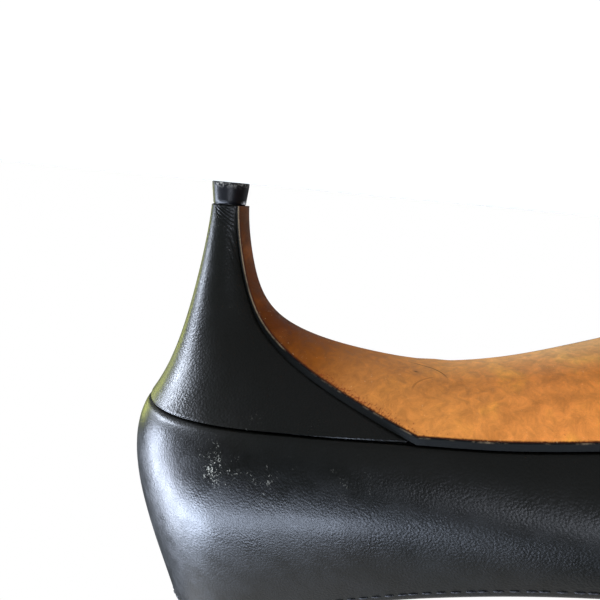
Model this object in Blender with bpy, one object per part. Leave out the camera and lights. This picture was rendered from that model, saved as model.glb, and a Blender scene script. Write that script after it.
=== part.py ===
"""A right kitten heel pump standing on its sole: upper, insole, outsole, covered heel and top lift.

Lengths are in millimetres until a mesh is made. +X points to the toe, +Y to the inner side of the foot and +Z up.
Along means the distance in front of the back of the heel seat, and heights are above the floor.
"""

import math
from collections import namedtuple

import bmesh
import bpy
from mathutils import Matrix, Vector

MM = 0.001
GAP = 0.3  # clearance between pieces that touch on the real shoe

# Driving sizes.
HEEL_HEIGHT = 50.0  # back of the heel seat above the floor
LAST_LENGTH = 241.0  # heel seat back to toe tip, along the floor
COLLAR_HEIGHT = 50.5  # top edge above the heel seat, at the back
WALL = 1.6  # upper leather with its lining
INSOLE_THICKNESS = 2.0
TOP_LIFT_HEIGHT = 4.6
TREAD_THICKNESS = 3.2  # outsole under the ball and toes
WAIST_THICKNESS = 1.4  # outsole edge under the arch and down the heel breast
TREAD_WELT = 0.9  # how far the outsole stands out from the upper round the forepart
BREAST_ALONG = 63.0  # where the heel's front corners meet the upper

# The bottom of the last: mean height of its two edges, how much higher the inner edge is, and how far its middle
# hangs below its edges.
Station = namedtuple("Station", "name along edge_height twist camber")
BOTTOM = (
    Station("seat back", 0.0, HEEL_HEIGHT, 0.0, 0.0),
    Station("seat middle", 30.0, HEEL_HEIGHT - 3.8, 0.0, 0.5),
    Station("heel front", BREAST_ALONG, HEEL_HEIGHT - 7.8, 0.1, 2.4),
    Station("waist back", 80.0, 39.2, 1.9, 2.9),
    Station("waist", 97.0, 34.2, 4.2, 2.8),
    Station("shank", 112.0, 28.2, 4.6, 2.3),
    Station("shank front", 126.0, 21.2, 4.0, 1.7),
    Station("ball back", 140.0, 13.6, 2.6, 1.1),
    Station("ball", 153.0, 7.8, 1.0, 0.6),
    Station("tread back", 166.0, 4.2, 0.2, 0.3),
    Station("tread", 181.0, 3.2, 0.0, 0.2),
    Station("toe joint", 199.0, 3.9, 0.0, 0.2),
    Station("toe", 219.0, 6.2, 0.0, 0.2),
    Station("toe tip", LAST_LENGTH, 10.0, 0.0, 0.1),
)

# One rib of the upper on each side, from the sole edge to the top line or, past the throat, to the ridge of the vamp.
# Swell and crown are the rib's curve handles at the sole edge and at the top.
Rib = namedtuple(
    "Rib",
    "name along inner outer top_along top_inner top_outer top_height swell_out swell_up crown_out crown_down",
)
COLLAR_TOP = HEEL_HEIGHT + COLLAR_HEIGHT
RIBS = (
    Rib("back", 0.0, 0.0, 0.0, 9.5, 0.0, 0.0, COLLAR_TOP, 7.0, 11.0, 7.0, 21.0),
    Rib("heel curve", 6.5, 14.4, 14.6, 13.8, 12.0, 12.2, COLLAR_TOP - 2.0, 6.9, 11.0, 6.0, 20.0),
    Rib("heel side", 22.0, 22.8, 23.4, 27.0, 20.0, 20.6, COLLAR_TOP - 8.0, 6.8, 11.0, 5.5, 17.0),
    Rib("seat front", 43.0, 24.3, 25.4, 47.0, 22.2, 23.2, COLLAR_TOP - 18.5, 6.5, 10.0, 4.5, 14.0),
    Rib("shank back", 66.0, 23.4, 25.0, 70.0, 23.4, 25.2, COLLAR_TOP - 29.0, 6.0, 9.0, 3.5, 12.0),
    Rib("waist", 93.0, 22.0, 26.4, 95.0, 25.6, 28.2, COLLAR_TOP - 38.5, 6.5, 8.0, 4.0, 10.0),
    Rib("shank front", 122.0, 23.6, 30.6, 121.0, 28.0, 29.8, COLLAR_TOP - 45.5, 6.0, 9.0, 4.5, 9.0),
    Rib("ball", 152.0, 33.2, 36.4, 146.0, 24.6, 25.0, COLLAR_TOP - 49.5, 4.5, 12.0, 6.5, 9.0),
    Rib("throat", 180.0, 37.0, 34.8, 164.0, 0.8, -0.8, 47.0, 3.5, 11.0, 25.0, 4.7),
    Rib("ball front", 200.0, 32.8, 27.2, 181.0, 1.4, -1.4, 39.6, 3.0, 10.5, 22.0, 5.1),
    Rib("toes", 216.0, 25.3, 18.2, 196.0, 2.2, -2.2, 33.2, 3.0, 10.0, 17.0, 4.7),
    Rib("toe side", 229.0, 17.2, 9.2, 208.0, 3.0, -3.0, 28.8, 3.0, 9.0, 13.0, 4.1),
    Rib("toe corner", 237.5, 10.8, 1.8, 216.0, 3.6, -3.6, 26.0, 3.5, 8.5, 11.0, 3.7),
    Rib("toe tip", LAST_LENGTH, 4.4, -4.4, 219.5, 4.0, -4.0, 24.8, 3.5, 8.0, 10.0, 3.4),
)
THROAT = 8  # the row above where the top line ends at the vamp

# The heel: its back line and breast edge flare from the top lift to the seat as share * v^gentle + rest * v^steep.
Flare = namedtuple("Flare", "share gentle steep")
BACK_FLARE = Flare(0.75, 1.35, 6.0)
BREAST_FLARE = Flare(0.25, 1.6, 7.0)
BREAST_WIDTH_FLARE = Flare(0.10, 3.0, 6.2)
LIFT_ALONG = 15.4  # centre of the heel's foot
HEEL_FOOT = (3.9, 4.1)  # half length and half width of the heel block above the top lift
LIFT_NECK = (3.5, 3.8)  # the top lift where it meets the heel
LIFT_FOOT = (4.1, 4.4)  # the top lift on the floor
BREAST_FOOT_HALF_WIDTH = 3.3  # outsole strip at the foot of the heel breast
BREAST_FOOT_ALONG = 18.9
BREAST_CAMBER = 0.3  # the strip's middle in front of its edges, at the foot
LIP_THICKNESS = 0.5
HEEL_LIP = 0.988  # how far up the breast the heel block reaches before its lip runs out to an edge

# Mesh densities.
SPAN_STEPS = 4  # steps between two rows of a table
RIB_STEPS = 13
ACROSS_STEPS = 8
HEEL_STEPS = 14
LIFT_SIDES = 32


def mix(a, b, share):
    return a + (b - a) * share


def smooth_step(low, high, value):
    t = min(1.0, max(0.0, (value - low) / (high - low)))
    return t * t * (3.0 - 2.0 * t)


def spline(rows, t, closed=False):
    """The point at row number t on a smooth curve through rows of equal length."""
    count = len(rows)
    start = math.floor(t) if closed else min(max(math.floor(t), 0), count - 2)
    s = t - start

    def row(i):
        return rows[i % count] if closed else rows[min(max(i, 0), count - 1)]

    before, a, b, after = (row(start + k) for k in (-1, 0, 1, 2))
    return tuple(
        0.5 * (2 * q + (r - p) * s + (2 * p - 5 * q + 4 * r - w) * s**2 + (3 * q - p - 3 * r + w) * s**3)
        for p, q, r, w in zip(before, a, b, after)
    )


def bottom_at(along):
    """(mean edge height, twist, camber) of the last's bottom."""
    rows = BOTTOM
    i = max(k for k in range(len(rows) - 1) if k == 0 or rows[k].along <= along)

    def slope(k, column):
        low, high = max(k - 1, 0), min(k + 1, len(rows) - 1)
        return (rows[high][column] - rows[low][column]) / (rows[high].along - rows[low].along)

    width = rows[i + 1].along - rows[i].along
    s = (along - rows[i].along) / width
    found = []
    for column in (2, 3, 4):
        a, b = rows[i][column], rows[i + 1][column]
        da, db = slope(i, column) * width, slope(i + 1, column) * width
        found.append(a + da * s + (3 * (b - a) - 2 * da - db) * s**2 + (2 * (a - b) + da + db) * s**3)
    return tuple(found)


def last_bottom(along, across):
    """Height of the last's bottom, across running from -1 at the outer edge to 1 at the inner."""
    edge, twist, camber = bottom_at(along)
    return edge + twist / 2 * across - camber * (1.0 - across**2)


def feather_point(t, side, margin=0.0):
    """Plan point of the sole edge at rib number t, moved out by margin. Side is 1 for inner and -1 for outer."""
    last = len(RIBS) - 1
    loop = [(r.along, r.inner) for r in RIBS] + [(r.along, -r.outer) for r in RIBS[-2:0:-1]]
    place = t if side > 0 else 2 * last - t
    x, y = spline(loop, place, closed=True)
    if not margin:
        return x, y
    ahead = spline(loop, place + 0.02, closed=True)
    behind = spline(loop, place - 0.02, closed=True)
    run, rise = ahead[0] - behind[0], ahead[1] - behind[1]
    length = math.hypot(run, rise)
    return x - rise / length * margin, y + run / length * margin


def top_point(t, side):
    """Where rib number t ends: on the top line, or past the throat on the ridge of the vamp."""
    if t <= THROAT:
        quarter = RIBS[: THROAT + 1]
        loop = [(r.top_along, r.top_inner, r.top_height) for r in quarter]
        loop += [(r.top_along, -r.top_outer, r.top_height) for r in quarter[-2:0:-1]]
        return spline(loop, t if side > 0 else 2 * THROAT - t, closed=True)
    return spline([(r.top_along, r.top_inner, r.top_height) for r in RIBS[THROAT:]], t - THROAT)


def upper_rib(t, side):
    """Points up one rib of the upper's outside, a cubic curve with the rib's own handles."""
    x, y = feather_point(t, side)
    foot = Vector((x, y, last_bottom(x, side)))
    top = Vector(top_point(t, side))
    out = Vector((*feather_point(t, side, 1.0), 0.0)) - Vector((x, y, 0.0))
    handles = [(r.swell_out, r.swell_up, r.crown_out, r.crown_down) for r in RIBS]
    swell_out, swell_up, crown_out, crown_down = spline(handles, t)
    inward = foot - top
    inward.z = 0.0
    down_wall = out if inward.length < crown_out else inward.normalized()
    leaning = smooth_step(THROAT - 3.0, THROAT - 0.5, t)
    away = out.lerp(down_wall, leaning).normalized()
    low = foot + out * swell_out + Vector((0.0, 0.0, swell_up))
    high = top + away * crown_out - Vector((0.0, 0.0, crown_down))
    return [
        foot * (1 - s) ** 3 + low * (3 * s * (1 - s) ** 2) + high * (3 * s**2 * (1 - s)) + top * s**3
        for s in (k / RIB_STEPS for k in range(RIB_STEPS + 1))
    ]


def add_sheet(bm, rows):
    """A grid of faces whose points are the given rows."""
    made = bmesh.ops.create_grid(bm, x_segments=len(rows[0]) - 1, y_segments=len(rows) - 1, size=0.5)
    for vert, point in zip(made["verts"], (p for row in rows for p in row)):
        vert.co = Vector(point) * MM


def close_and_weld(bm):
    """Joins sheets along their shared borders and fills the holes that are left."""
    bmesh.ops.remove_doubles(bm, verts=bm.verts, dist=0.01 * MM)
    border = [e for e in bm.edges if e.is_boundary]
    if border:
        bmesh.ops.holes_fill(bm, edges=border, sides=0)
    bmesh.ops.recalc_face_normals(bm, faces=bm.faces)


def material(name, colour, roughness):
    made = bpy.data.materials.new(name)
    made.use_nodes = True
    shader = made.node_tree.nodes["Principled BSDF"]
    shader.inputs["Base Color"].default_value = (*colour, 1.0)
    shader.inputs["Roughness"].default_value = roughness
    shader.inputs["Metallic"].default_value = 0.0
    return made


def add_object(name, bm, finish):
    mesh = bpy.data.meshes.new(name)
    bm.to_mesh(mesh)
    bm.free()
    mesh.shade_smooth()
    mesh.set_sharp_from_angle(angle=math.radians(40))
    mesh.materials.append(finish)
    made = bpy.data.objects.new(name, mesh)
    bpy.context.scene.collection.objects.link(made)
    return made


def make_upper(finish):
    """The whole leather upper as one sheet, thickened inwards: open at the top line and underneath."""
    last = len(RIBS) - 1
    steps = last * SPAN_STEPS
    bm = bmesh.new()
    for side in (1, -1):
        add_sheet(bm, [upper_rib(k / SPAN_STEPS, side) for k in range(steps + 1)])
    bmesh.ops.remove_doubles(bm, verts=bm.verts, dist=0.01 * MM)
    bmesh.ops.recalc_face_normals(bm, faces=bm.faces)
    upper = add_object("upper", bm, finish)
    wall = upper.modifiers.new("wall", "SOLIDIFY")
    wall.thickness = WALL * MM
    wall.offset = -1.0
    wall.use_even_offset = True
    wall.use_quality_normals = True
    return upper


def across_rows(left, right, height):
    """Points from one edge to the other, each at the height that height(along, across) gives."""
    row = []
    for k in range(ACROSS_STEPS + 1):
        across = 2.0 * k / ACROSS_STEPS - 1.0
        x, y = (mix(a, b, k / ACROSS_STEPS) for a, b in zip(left, right))
        row.append((x, y, height(x, across)))
    return row


def rib_number_at(along):
    """The rib number whose sole edge is this far along."""
    low, high = 0.0, float(len(RIBS) - 1)
    for _ in range(40):
        middle = (low + high) / 2
        if feather_point(middle, 1)[0] < along:
            low = middle
        else:
            high = middle
    return low


def make_insole(finish):
    """The insole board with its sock, inside the upper's foot."""
    inset = -(WALL + 0.7)
    last = len(RIBS) - 1
    top, under = [], []
    for k in range(last * SPAN_STEPS + 1):
        t = min(max(k / SPAN_STEPS, 0.06), last - 0.06)
        left, right = feather_point(t, -1, inset), feather_point(t, 1, inset)
        under.append(across_rows(left, right, last_bottom))
        top.append(across_rows(left, right, lambda x, q: last_bottom(x, q) + INSOLE_THICKNESS))
    bm = bmesh.new()
    add_sheet(bm, top)
    add_sheet(bm, [row[::-1] for row in under])
    for edge in (0, -1):
        add_sheet(bm, [[row[edge] for row in top], [row[edge] for row in under]])
    close_and_weld(bm)
    return add_object("insole", bm, finish)


def flare(shape, v):
    return shape.share * v**shape.gentle + (1.0 - shape.share) * v**shape.steep


def breast_edge(v, side):
    """The outsole strip's visible edge on the heel breast, v from 0 at the foot to 1 at the heel's front corner."""
    corner = feather_point(rib_number_at(BREAST_ALONG), side)
    edge_height = last_bottom(BREAST_ALONG, side) - GAP - WAIST_THICKNESS
    x = mix(BREAST_FOOT_ALONG, corner[0], flare(BREAST_FLARE, v))
    y = mix(side * BREAST_FOOT_HALF_WIDTH, corner[1], flare(BREAST_WIDTH_FLARE, v))
    z = mix(TOP_LIFT_HEIGHT + GAP, edge_height, v)
    return Vector((x, y, z))


def breast_normal(v):
    """Direction out of the heel breast, in the plane of the shoe's length."""
    low, high = breast_edge(max(v - 0.02, 0.0), 1), breast_edge(min(v + 0.02, 1.0), 1)
    along = high - low
    return Vector((along.z, 0.0, -along.x)).normalized()


def breast_row(v, depth):
    """Points across the breast, depth behind the visible face of the outsole strip."""
    left, right = breast_edge(v, -1), breast_edge(v, 1)
    out = breast_normal(v)
    camber = mix(BREAST_CAMBER, bottom_at(BREAST_ALONG)[2], smooth_step(0.45, 1.0, v))
    row = []
    for k in range(ACROSS_STEPS + 1):
        across = 2.0 * k / ACROSS_STEPS - 1.0
        middle = left.lerp(right, k / ACROSS_STEPS)
        row.append(middle + out * (camber * (1.0 - across**2) - depth))
    return row


def sole_thickness(along):
    return mix(WAIST_THICKNESS, TREAD_THICKNESS, smooth_step(105.0, 150.0, along))


def make_outsole(finish):
    """The leather outsole: toe, tread, waist and a strip that runs down the heel breast to the top lift."""
    last = len(RIBS) - 1
    start = rib_number_at(BREAST_ALONG)
    inner, visible = [], []
    for k in range(HEEL_STEPS):
        v = k / HEEL_STEPS
        visible.append(breast_row(v, 0.0))
        inner.append(breast_row(v, WAIST_THICKNESS))
    steps = round((last - start) * SPAN_STEPS)
    for k in range(steps + 1):
        t = min(mix(start, last, k / steps), last - 0.04)
        welt = TREAD_WELT * smooth_step(100.0, 150.0, feather_point(t, 1)[0])
        left, right = feather_point(t, -1, welt), feather_point(t, 1, welt)
        inner.append(across_rows(left, right, lambda x, q: last_bottom(x, q) - GAP))
        visible.append(
            across_rows(left, right, lambda x, q: max(0.0, last_bottom(x, q) - GAP - sole_thickness(x)))
        )
    bm = bmesh.new()
    add_sheet(bm, inner)
    add_sheet(bm, visible)
    for edge in (0, -1):
        add_sheet(bm, [[row[edge] for row in inner], [row[edge] for row in visible]])
    close_and_weld(bm)
    return add_object("outsole", bm, finish)


def heel_side(u, side):
    """One line down the heel's side, u from 0 at the back to 1 at the breast corner, seat first."""
    t = rib_number_at(BREAST_ALONG) * u
    seat_x, seat_y = feather_point(t, side)
    seat = Vector((seat_x, seat_y, last_bottom(seat_x, side) - GAP))
    half_length, half_width = HEEL_FOOT
    front = math.asin(BREAST_FOOT_HALF_WIDTH / half_width)
    turn = mix(math.pi, front, u)
    foot = Vector((LIFT_ALONG + half_length * math.cos(turn), side * half_width * math.sin(turn), 0.0))
    weight = u**2
    line = []
    heights = [k / HEEL_STEPS for k in range(HEEL_STEPS, -1, -1)]
    heights.insert(1, 1.0 - LIP_THICKNESS / (HEEL_HEIGHT - TOP_LIFT_HEIGHT))
    for v in heights:
        back = flare(BACK_FLARE, v)
        x = mix(foot.x, seat.x, mix(back, flare(BREAST_FLARE, v), weight))
        y = mix(foot.y, seat.y, mix(back, flare(BREAST_WIDTH_FLARE, v), weight))
        line.append(Vector((x, y, mix(TOP_LIFT_HEIGHT + GAP, seat.z, v))))
    return line


def make_heel(finish):
    """The leather-covered heel block: flaring sides, a seat under the upper and a breast behind the outsole strip."""
    u_steps = [k / HEEL_STEPS for k in range(HEEL_STEPS)]
    depth = WAIST_THICKNESS + GAP
    breast = [breast_row(HEEL_LIP * k / HEEL_STEPS, depth) for k in range(HEEL_STEPS, -1, -1)]
    top_row = [
        Vector((p.x, p.y, last_bottom(p.x, 2.0 * k / ACROSS_STEPS - 1.0) - GAP)) for k, p in enumerate(breast[0])
    ]
    breast.insert(0, top_row)
    inner = [heel_side(u, 1) for u in u_steps] + [[row[-1] for row in breast]]
    outer = [heel_side(u, -1) for u in u_steps] + [[row[0] for row in breast]]
    seat = []
    for left, right in zip(outer, inner):
        seat.append(across_rows(left[0].xy, right[0].xy, lambda x, q: last_bottom(x, q) - GAP))
    seat[-1] = top_row
    bm = bmesh.new()
    for sheet in (inner, outer, breast, seat):
        add_sheet(bm, sheet)
    close_and_weld(bm)
    return add_object("heel", bm, finish)


def make_top_lift(finish):
    """The rubber top lift under the heel, a little wider on the floor than at its joint."""
    bm = bmesh.new()
    bmesh.ops.create_circle(bm, cap_ends=True, segments=LIFT_SIDES, radius=1.0)
    floor = bm.faces[:]
    made = bmesh.ops.extrude_face_region(bm, geom=floor)
    joint = {v for v in made["geom"] if isinstance(v, bmesh.types.BMVert)}
    for vert in bm.verts:
        length, width = LIFT_NECK if vert in joint else LIFT_FOOT
        height = TOP_LIFT_HEIGHT if vert in joint else 0.0
        vert.co = Vector((LIFT_ALONG + vert.co.x * length, vert.co.y * width, height)) * MM
    bmesh.ops.recalc_face_normals(bm, faces=bm.faces)
    return add_object("top_lift", bm, finish)


def stand_on_origin(pieces):
    """Moves every piece so that the middle of the shoe's footprint box is the origin."""
    corners = [Vector(c) for piece in pieces for c in piece.bound_box]
    low = [min(c[k] for c in corners) for k in range(3)]
    high = [max(c[k] for c in corners) for k in range(3)]
    shift = Matrix.Translation((-(low[0] + high[0]) / 2, -(low[1] + high[1]) / 2, -low[2]))
    for piece in pieces:
        piece.data.transform(shift)


def main():
    for old in list(bpy.data.objects):
        bpy.data.objects.remove(old)
    black_leather = material("black calf leather", (0.012, 0.012, 0.013), 0.38)
    heel_cover = material("black heel cover leather", (0.014, 0.014, 0.014), 0.36)
    sole_leather = material("tan sole leather", (0.50, 0.21, 0.055), 0.50)
    sock_leather = material("tan sock leather", (0.56, 0.36, 0.20), 0.60)
    rubber = material("black lift rubber", (0.015, 0.015, 0.016), 0.55)
    pieces = [
        make_upper(black_leather),
        make_insole(sock_leather),
        make_outsole(sole_leather),
        make_heel(heel_cover),
        make_top_lift(rubber),
    ]
    bpy.context.view_layer.update()
    stand_on_origin(pieces)


main()
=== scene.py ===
import math

import bmesh
import bpy
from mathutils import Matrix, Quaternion, Vector
from mathutils.bvhtree import BVHTree
from mathutils.kdtree import KDTree


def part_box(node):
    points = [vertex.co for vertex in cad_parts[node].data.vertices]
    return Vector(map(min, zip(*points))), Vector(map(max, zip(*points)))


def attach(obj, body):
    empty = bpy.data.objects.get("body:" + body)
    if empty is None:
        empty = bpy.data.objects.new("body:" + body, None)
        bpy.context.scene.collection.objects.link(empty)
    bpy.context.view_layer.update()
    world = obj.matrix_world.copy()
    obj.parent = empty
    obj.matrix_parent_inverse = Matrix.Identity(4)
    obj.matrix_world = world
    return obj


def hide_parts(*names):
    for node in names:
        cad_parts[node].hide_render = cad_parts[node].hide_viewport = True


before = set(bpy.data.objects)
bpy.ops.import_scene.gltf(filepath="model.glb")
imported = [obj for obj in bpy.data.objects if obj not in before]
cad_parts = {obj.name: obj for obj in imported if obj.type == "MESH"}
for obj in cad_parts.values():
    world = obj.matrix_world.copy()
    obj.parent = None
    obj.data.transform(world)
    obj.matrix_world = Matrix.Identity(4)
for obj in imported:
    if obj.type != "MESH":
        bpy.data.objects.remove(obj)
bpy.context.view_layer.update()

mm = 0.001
scene = bpy.context.scene
scene.view_settings.view_transform = "Standard"

# The last. Sizes are in mm of the shoe: along from the back of the heel seat, inwards, up from the floor.
lastForm = {
    "heelHeight": 50.0,
    "breastAlong": 63.0,  # the heel's front corners
    "gap": 0.3,  # between pieces that touch on the real shoe
    "throat": 8,  # rib number where the top line ends
    # along, mean height of the two edges, how much higher the inner edge is, hang of the middle
    "bottom": [
        (0.0, 50.0, 0.0, 0.0), (30.0, 46.2, 0.0, 0.5), (63.0, 42.2, 0.1, 2.4), (80.0, 39.2, 1.9, 2.9),
        (97.0, 34.2, 4.2, 2.8), (112.0, 28.2, 4.6, 2.3), (126.0, 21.2, 4.0, 1.7), (140.0, 13.6, 2.6, 1.1),
        (153.0, 7.8, 1.0, 0.6), (166.0, 4.2, 0.2, 0.3), (181.0, 3.2, 0.0, 0.2), (199.0, 3.9, 0.0, 0.2),
        (219.0, 6.2, 0.0, 0.2), (241.0, 10.0, 0.0, 0.1),
    ],
    # sole edge: along, inner, outer; top: along, inner, outer, height;
    # handles of the curve between them: swell out, up, crown out, down
    "ribs": [
        (0.0, 0.0, 0.0, 9.5, 0.0, 0.0, 100.5, 7.0, 11.0, 7.0, 21.0),
        (6.5, 14.4, 14.6, 13.8, 12.0, 12.2, 98.5, 6.9, 11.0, 6.0, 20.0),
        (22.0, 22.8, 23.4, 27.0, 20.0, 20.6, 92.5, 6.8, 11.0, 5.5, 17.0),
        (43.0, 24.3, 25.4, 47.0, 22.2, 23.2, 82.0, 6.5, 10.0, 4.5, 14.0),
        (66.0, 23.4, 25.0, 70.0, 23.4, 25.2, 71.5, 6.0, 9.0, 3.5, 12.0),
        (93.0, 22.0, 26.4, 95.0, 25.6, 28.2, 62.0, 6.5, 8.0, 4.0, 10.0),
        (122.0, 23.6, 30.6, 121.0, 28.0, 29.8, 55.0, 6.0, 9.0, 4.5, 9.0),
        (152.0, 33.2, 36.4, 146.0, 24.6, 25.0, 51.0, 4.5, 12.0, 6.5, 9.0),
        (180.0, 37.0, 34.8, 164.0, 0.8, -0.8, 47.0, 3.5, 11.0, 25.0, 4.7),
        (200.0, 32.8, 27.2, 181.0, 1.4, -1.4, 39.6, 3.0, 10.5, 22.0, 5.1),
        (216.0, 25.3, 18.2, 196.0, 2.2, -2.2, 33.2, 3.0, 10.0, 17.0, 4.7),
        (229.0, 17.2, 9.2, 208.0, 3.0, -3.0, 28.8, 3.0, 9.0, 13.0, 4.1),
        (237.5, 10.8, 1.8, 216.0, 3.6, -3.6, 26.0, 3.5, 8.5, 11.0, 3.7),
        (241.0, 4.4, -4.4, 219.5, 4.0, -4.0, 24.8, 3.5, 8.0, 10.0, 3.4),
    ],
}
toeRib = len(lastForm["ribs"]) - 1
liftAlong = 15.4  # centre of the heel's foot
liftLow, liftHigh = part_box("top_lift")
seatBack = (liftLow + liftHigh) / 2 - Vector((liftAlong * mm, 0.0, 0.0))
seatBack.z = 0.0


def toScene(point):
    return seatBack + Vector(point) * mm


def mix(a, b, share):
    return a + (b - a) * share


def smoothStep(low, high, value):
    t = min(1.0, max(0.0, (value - low) / (high - low)))
    return t * t * (3.0 - 2.0 * t)


def rollIn(distance, radius):
    # how far a rounded edge has drawn in, this far from where it ends
    if distance >= radius:
        return 0.0
    return radius - math.sqrt(radius**2 - (radius - max(distance, 0.0)) ** 2)


def spline(rows, t, closed=False):
    count = len(rows)
    start = math.floor(t) if closed else min(max(math.floor(t), 0), count - 2)
    s = t - start
    wanted = [start + k for k in (-1, 0, 1, 2)]
    wanted = [i % count if closed else min(max(i, 0), count - 1) for i in wanted]
    return [
        0.5 * (2 * q + (r - p) * s + (2 * p - 5 * q + 4 * r - w) * s**2 + (3 * q - p - 3 * r + w) * s**3)
        for p, q, r, w in zip(*(rows[i] for i in wanted))
    ]


def bottomAt(along):
    rows = lastForm["bottom"]
    i = max(k for k in range(len(rows) - 1) if k == 0 or rows[k][0] <= along)

    def slope(k, column):
        low, high = rows[max(k - 1, 0)], rows[min(k + 1, len(rows) - 1)]
        return (high[column] - low[column]) / (high[0] - low[0])

    width = rows[i + 1][0] - rows[i][0]
    s = (along - rows[i][0]) / width
    found = []
    for column in (1, 2, 3):
        a, b = rows[i][column], rows[i + 1][column]
        da, db = slope(i, column) * width, slope(i + 1, column) * width
        found.append(a + da * s + (3 * (b - a) - 2 * da - db) * s**2 + (2 * (a - b) + da + db) * s**3)
    return found


def lastBottom(along, across):
    edge, twist, camber = bottomAt(along)
    return edge + twist / 2 * across - camber * (1.0 - across**2)


featherLoop = [(r[0], r[1]) for r in lastForm["ribs"]] + [(r[0], -r[2]) for r in lastForm["ribs"][-2:0:-1]]
quarterRibs = lastForm["ribs"][: lastForm["throat"] + 1]
toplineLoop = [(r[3], r[4], r[6]) for r in quarterRibs] + [(r[3], -r[5], r[6]) for r in quarterRibs[-2:0:-1]]
ridgeLine = [(r[3], r[4], r[6]) for r in lastForm["ribs"][lastForm["throat"]:]]


def featherPoint(t, side, margin=0.0):
    place = t if side > 0 else 2 * toeRib - t
    x, y = spline(featherLoop, place, closed=True)
    if not margin:
        return x, y
    ahead = spline(featherLoop, place + 0.02, closed=True)
    behind = spline(featherLoop, place - 0.02, closed=True)
    run, rise = ahead[0] - behind[0], ahead[1] - behind[1]
    length = math.hypot(run, rise)
    return x - rise / length * margin, y + run / length * margin


def featherOut(t, side):
    x, y = featherPoint(t, side)
    outX, outY = featherPoint(t, side, 1.0)
    return Vector((outX - x, outY - y, 0.0))


def topPoint(t, side):
    throat = lastForm["throat"]
    if t <= throat:
        return Vector(spline(toplineLoop, t if side > 0 else 2 * throat - t, closed=True))
    return Vector(spline(ridgeLine, t - throat))


def ribAt(along):
    # rib number whose sole edge is this far along
    low, high = 0.0, float(toeRib)
    for _ in range(40):
        middle = (low + high) / 2
        low, high = (middle, high) if featherPoint(middle, 1)[0] < along else (low, middle)
    return low


breastRib = ribAt(lastForm["breastAlong"])


def addSheet(bm, rows, finish=0):
    made = bmesh.ops.create_grid(bm, x_segments=len(rows[0]) - 1, y_segments=len(rows) - 1, size=0.5)
    for vert, point in zip(made["verts"], (p for row in rows for p in row)):
        vert.co = toScene(point)
    for face in {f for v in made["verts"] for f in v.link_faces}:
        face.material_index = finish
    return made["verts"]


def weld(bm):
    bmesh.ops.remove_doubles(bm, verts=bm.verts, dist=0.004 * mm)
    border = [e for e in bm.edges if e.is_boundary]
    if border:
        bmesh.ops.holes_fill(bm, edges=border, sides=0)
    bmesh.ops.recalc_face_normals(bm, faces=bm.faces)


def nearTree(points):
    tree = KDTree(len(points))
    for i, point in enumerate(points):
        tree.insert(point, i)
    tree.balance()
    return tree


def curlEdge(bm, line, radius, level=False):
    # rolls the open edge that runs along line over to the inside; radius(point) in mm, level keeps its height
    tree = nearTree([toScene(point) for point in line])
    bm.normal_update()
    moves = []
    for vert in bm.verts:
        _, i, distance = tree.find(vert.co)
        out = Vector((vert.normal.x, vert.normal.y, 0.0)).normalized() if level else vert.normal
        moves.append((vert, out * rollIn(distance / mm, radius(line[i])) * mm))
    for vert, move in moves:
        vert.co -= move


def easeLine(bm, line, ease):
    # smooths the sheet along a line, fading out with distance from it and towards the open edges
    tree = nearTree([toScene(point) for point in line])
    rim = nearTree([v.co.copy() for v in bm.verts if v.is_boundary])
    near, far = ease["reach"]
    held, free = ease["edge"]
    groups = [[] for _ in range(ease["shades"])]
    for v in bm.verts:
        fromLine, fromRim = (found.find(v.co)[2] / mm for found in (tree, rim))
        share = smoothStep(far, near, fromLine) * smoothStep(held, free, fromRim)
        if share > 0.5 / len(groups):
            groups[min(len(groups) - 1, int(share * len(groups)))].append(v)
    for _ in range(ease["passes"]):
        for i, verts in enumerate(groups):
            bmesh.ops.smooth_vert(
                bm, verts=verts, factor=0.5 * (i + 1) / len(groups),
                use_axis_x=True, use_axis_y=True, use_axis_z=True,
            )


def pressCreases(bm, creases):
    # soft troughs along short lines: start, end, width and depth in mm; where lines meet, the deepest counts
    bm.normal_update()
    moves = []
    for vert in bm.verts:
        total = 0.0
        for start, end, width, depth in creases:
            run = end - start
            share = min(1.0, max(0.0, (vert.co - start).dot(run) / run.length_squared))
            away = (vert.co - start - run * share).length / (width * mm)
            if away < 3.0:
                total = max(total, depth * math.exp(-away * away))
        if total:
            moves.append((vert, vert.normal * total * mm))
    for vert, move in moves:
        vert.co -= move


def finishPiece(name, bm, materials, node=None, sharpAngle=38.0):
    mesh = bpy.data.meshes.new(name)
    bm.to_mesh(mesh)
    bm.free()
    mesh.shade_smooth()
    mesh.set_sharp_from_angle(angle=math.radians(sharpAngle))
    for material in materials:
        mesh.materials.append(material)
    piece = bpy.data.objects.new(name, mesh)
    scene.collection.objects.link(piece)
    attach(piece, "root")
    if node:
        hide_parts(node)
    return piece


def linear(hexColour):
    parts = [int(hexColour[i : i + 2], 16) / 255 for i in (1, 3, 5)]
    return (*[p / 12.92 if p <= 0.04045 else ((p + 0.055) / 1.055) ** 2.4 for p in parts], 1.0)


def perMm(size):
    return 1.0 / (size * mm)  # pattern scale for a repeat of this many mm


def plug(tree, node, inputs):
    for name, value in inputs.items():
        if isinstance(value, bpy.types.NodeSocket):
            tree.links.new(value, node.inputs[name])
        else:
            node.inputs[name].default_value = value


def addNode(tree, kind, inputs=None, **settings):
    node = tree.nodes.new("ShaderNode" + kind)
    for name, value in settings.items():
        setattr(node, name, value)
    plug(tree, node, inputs or {})
    return node


def strongest(tree, masks):
    total = masks[0]
    for mask in masks[1:]:
        total = addNode(tree, "Math", {0: total, 1: mask}, operation="MAXIMUM").outputs[0]
    return total


def startMaterial(name):
    material = bpy.data.materials.new(name)
    material.use_nodes = True
    tree = material.node_tree
    return material, tree, tree.nodes["Principled BSDF"]


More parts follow.
